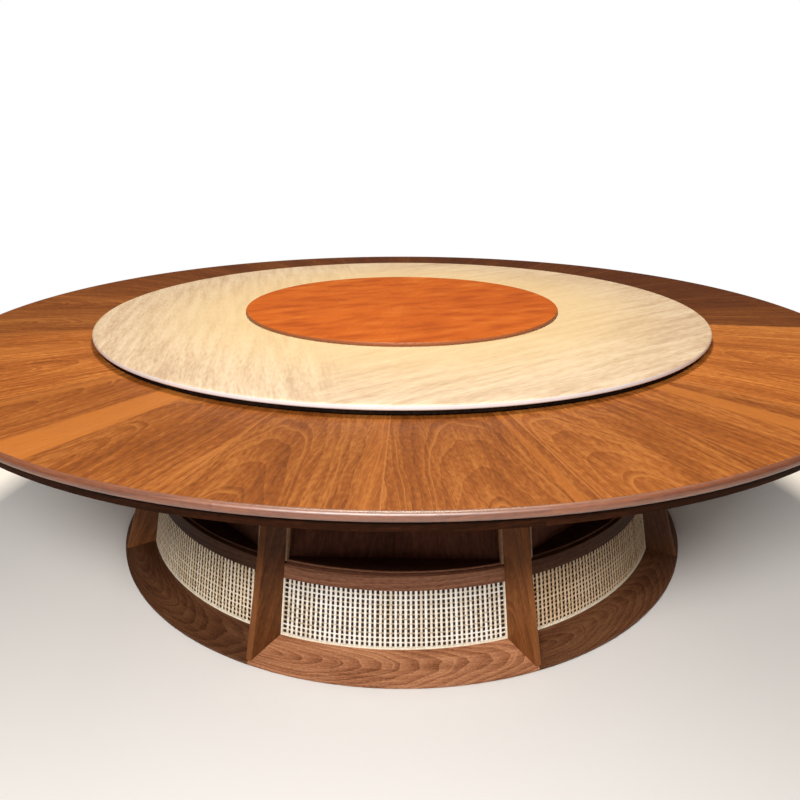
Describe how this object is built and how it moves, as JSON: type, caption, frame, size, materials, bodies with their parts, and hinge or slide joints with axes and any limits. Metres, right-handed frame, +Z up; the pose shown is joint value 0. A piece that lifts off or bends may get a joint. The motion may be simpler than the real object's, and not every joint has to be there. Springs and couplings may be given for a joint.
{
  "type": "round dining table",
  "caption": "Large round dining table with a sunburst-veneered top, a turning stone tray with a wooden centre disc, and a tapered drum base of wooden fins and cane panels.",
  "frame": {"origin": "on the floor at the table's vertical axis", "axes": "+Z up along the axis; the picture's front is towards -Y, and a bay of the base faces -Y"},
  "size_m": [2.9196, 2.9196, 0.802],
  "materials": {
    "plinth_wood": "satin oiled walnut",
    "fin_wood": "satin oiled walnut",
    "rail_wood": "satin oiled walnut",
    "niche_wood": "dark satin walnut",
    "cane": "natural woven cane",
    "spline": "natural reed spline",
    "backing": "dark stained board",
    "frame_wood": "plain sanded timber",
    "core_board": "plain board",
    "veneer": "satin lacquered sunburst veneer",
    "nosing_wood": "satin lacquered solid wood",
    "band_wood": "dark satin wood",
    "turntable_board": "black stained board",
    "stone": "honed travertine with polished edge",
    "disc_veneer": "satin lacquered sunburst veneer",
    "ring_aluminium": "extruded, satin",
    "cage_plastic": "moulded",
    "ball_steel": "ground and polished",
    "screw_steel": "zinc plated",
    "glide_felt": "pressed felt pad"
  },
  "bodies": {
    "table": {"plinth_segment_1": "plinth_wood", "plinth_segment_2": "plinth_wood", "plinth_segment_3": "plinth_wood", "plinth_segment_4": "plinth_wood", "plinth_segment_5": "plinth_wood", "plinth_segment_6": "plinth_wood", "plinth_segment_7": "plinth_wood", "plinth_segment_8": "plinth_wood", "fin_1": "fin_wood", "fin_2": "fin_wood", "fin_3": "fin_wood", "fin_4": "fin_wood", "fin_5": "fin_wood", "fin_6": "fin_wood", "fin_7": "fin_wood", "fin_8": "fin_wood", "cane_rail_1": "rail_wood", "cane_rail_2": "rail_wood", "cane_rail_3": "rail_wood", "cane_rail_4": "rail_wood", "cane_rail_5": "rail_wood", "cane_rail_6": "rail_wood", "cane_rail_7": "rail_wood", "cane_rail_8": "rail_wood", "cane_panel_1": "cane", "cane_panel_2": "cane", "cane_panel_3": "cane", "cane_panel_4": "cane", "cane_panel_5": "cane", "cane_panel_6": "cane", "cane_panel_7": "cane", "cane_panel_8": "cane", "glides": "glide_felt", "fin_base_screws": "screw_steel", "fin_top_screws": "screw_steel", "bearing_lower_screws": "screw_steel", "cane_backings": "backing", "cane_foot_splines": "spline", "cane_head_splines": "spline", "cane_side_splines": "spline", "niche_jamb_strips": "spline", "niche_panels": "niche_wood", "top_frame": "frame_wood", "top_bearers": "frame_wood", "main_beam": "frame_wood", "side_beams": "frame_wood", "top_core_panels": "core_board", "veneer_leaves": "veneer", "edge_nosing": "nosing_wood", "under_edge_band": "band_wood", "bearing_plate": "core_board", "bearing_lower_ring": "ring_aluminium"},
    "turntable": {"bearing_upper_ring": "ring_aluminium", "bearing_upper_screws": "screw_steel", "turntable_board": "turntable_board", "stone_top": "stone", "centre_disc": "disc_veneer"},
    "ball_cage": {"ball_cage": "cage_plastic", "bearing_balls": "ball_steel"}
  },
  "joints": [
    {"name": "turntable_spin", "type": "hinge", "parent": "table", "child": "turntable", "pos_m": [0, 0, 0.7525], "axis": [0, 0, 1], "continuous": true},
    {"name": "ball_cage_spin", "type": "hinge", "parent": "table", "child": "ball_cage", "pos_m": [0, 0, 0.7525], "axis": [0, 0, 1], "continuous": true}
  ],
  "couplings": [
    {"joint": "ball_cage_spin", "follows": "turntable_spin", "ratio": 0.4925}
  ]
}
